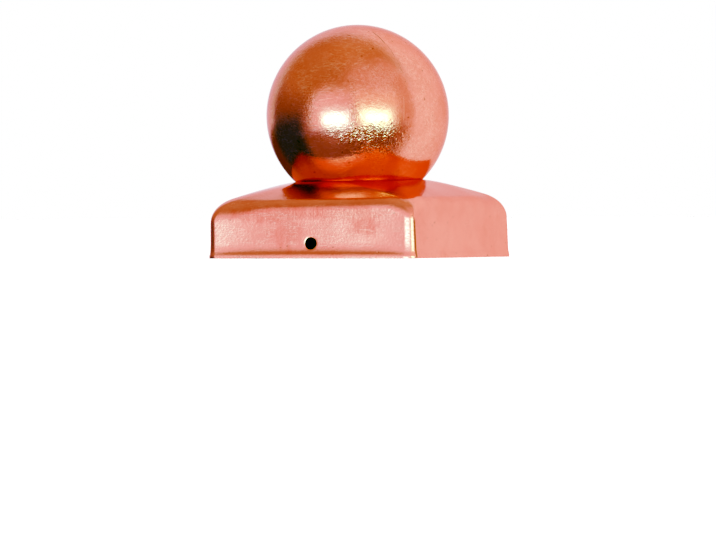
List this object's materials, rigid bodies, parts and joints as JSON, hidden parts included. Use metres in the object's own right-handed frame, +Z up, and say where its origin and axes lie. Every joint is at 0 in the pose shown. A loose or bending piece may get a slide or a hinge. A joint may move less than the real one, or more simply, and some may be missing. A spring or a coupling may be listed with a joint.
{
  "type": "ball post cap",
  "caption": "Square pressed copper cap for a fence or gate post, with a bowed crown, a trimmed rim, nail holes front and back, and a hollow ball finial.",
  "frame": {"origin": "middle of the open rim, on the plane that the cap stands on", "axes": "+Z up through the ball, -Y out of the front face with its nail hole, +X to the right of the front face"},
  "size_m": [0.1, 0.1, 0.1013],
  "materials": {
    "cap_copper": "bright pressed copper, lightly scratched",
    "ball_copper": "polished spun copper with a fine grain"
  },
  "bodies": {
    "root": {"cap_base": "cap_copper", "ball": "ball_copper"}
  },
  "joints": []
}
